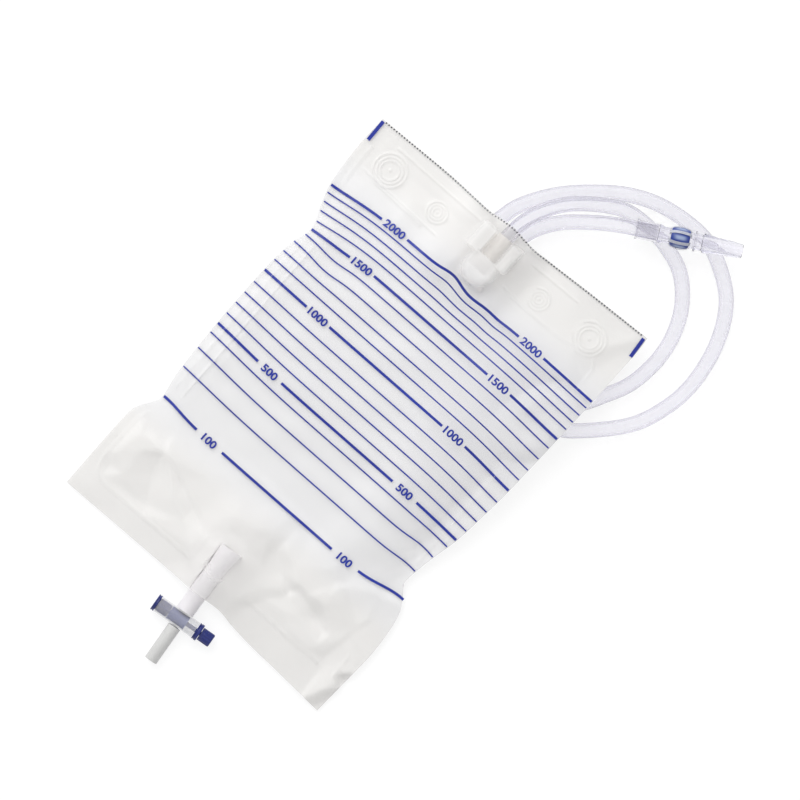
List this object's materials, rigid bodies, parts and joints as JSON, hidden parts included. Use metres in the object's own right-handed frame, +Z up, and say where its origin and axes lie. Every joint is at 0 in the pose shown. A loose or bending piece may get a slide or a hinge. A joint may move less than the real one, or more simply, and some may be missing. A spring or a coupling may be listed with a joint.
{
  "type": "urine drainage bag",
  "caption": "Two-litre urine drainage bag of clear film with a top inlet tube and connector, hanger strip, printed volume scale, bottom outlet tube and push-pull drain valve.",
  "frame": {"origin": "middle of the bag, valve and spout on the surface it lies on; the inlet tube and its connector aren't counted", "axes": "+Y towards the hanger end, +Z up out of the front sheet, +X across the bag to the side of the valve's knob"},
  "size_m": [0.2727, 0.4626, 0.0268],
  "materials": {
    "film": "milky clear soft PVC film, satin",
    "printed_film": "milky clear soft PVC film, satin, with blue ink lines and numbers",
    "sleeve_film": "thin clear film",
    "soft_clear_pvc": "clear soft PVC tube, glossy, faintly violet",
    "port_pvc": "translucent moulded PVC",
    "clear_plastic": "clear hard plastic, polished",
    "spout_pvc": "frosted translucent soft PVC",
    "blue_plastic": "royal blue moulded plastic, semi-gloss",
    "blue_rubber": "blue moulded rubber, satin"
  },
  "bodies": {
    "bag": {"back_sheet": "film", "front_sheet": "printed_film", "inlet_port": "port_pvc", "reflux_sleeve": "sleeve_film", "inlet_tube": "soft_clear_pvc", "connector_body": "clear_plastic", "sampling_sleeve": "blue_rubber", "outlet_tube": "soft_clear_pvc", "valve_body": "clear_plastic", "valve_collar": "blue_plastic", "drain_spout": "spout_pvc"},
    "plunger": {"valve_plunger": "blue_plastic", "plunger_seal": "blue_rubber"}
  },
  "joints": [
    {"name": "valve_slide", "type": "slide", "parent": "bag", "child": "plunger", "axis": [-0.9945, -0.1045, 0], "range_m": [0, 0.009]}
  ]
}
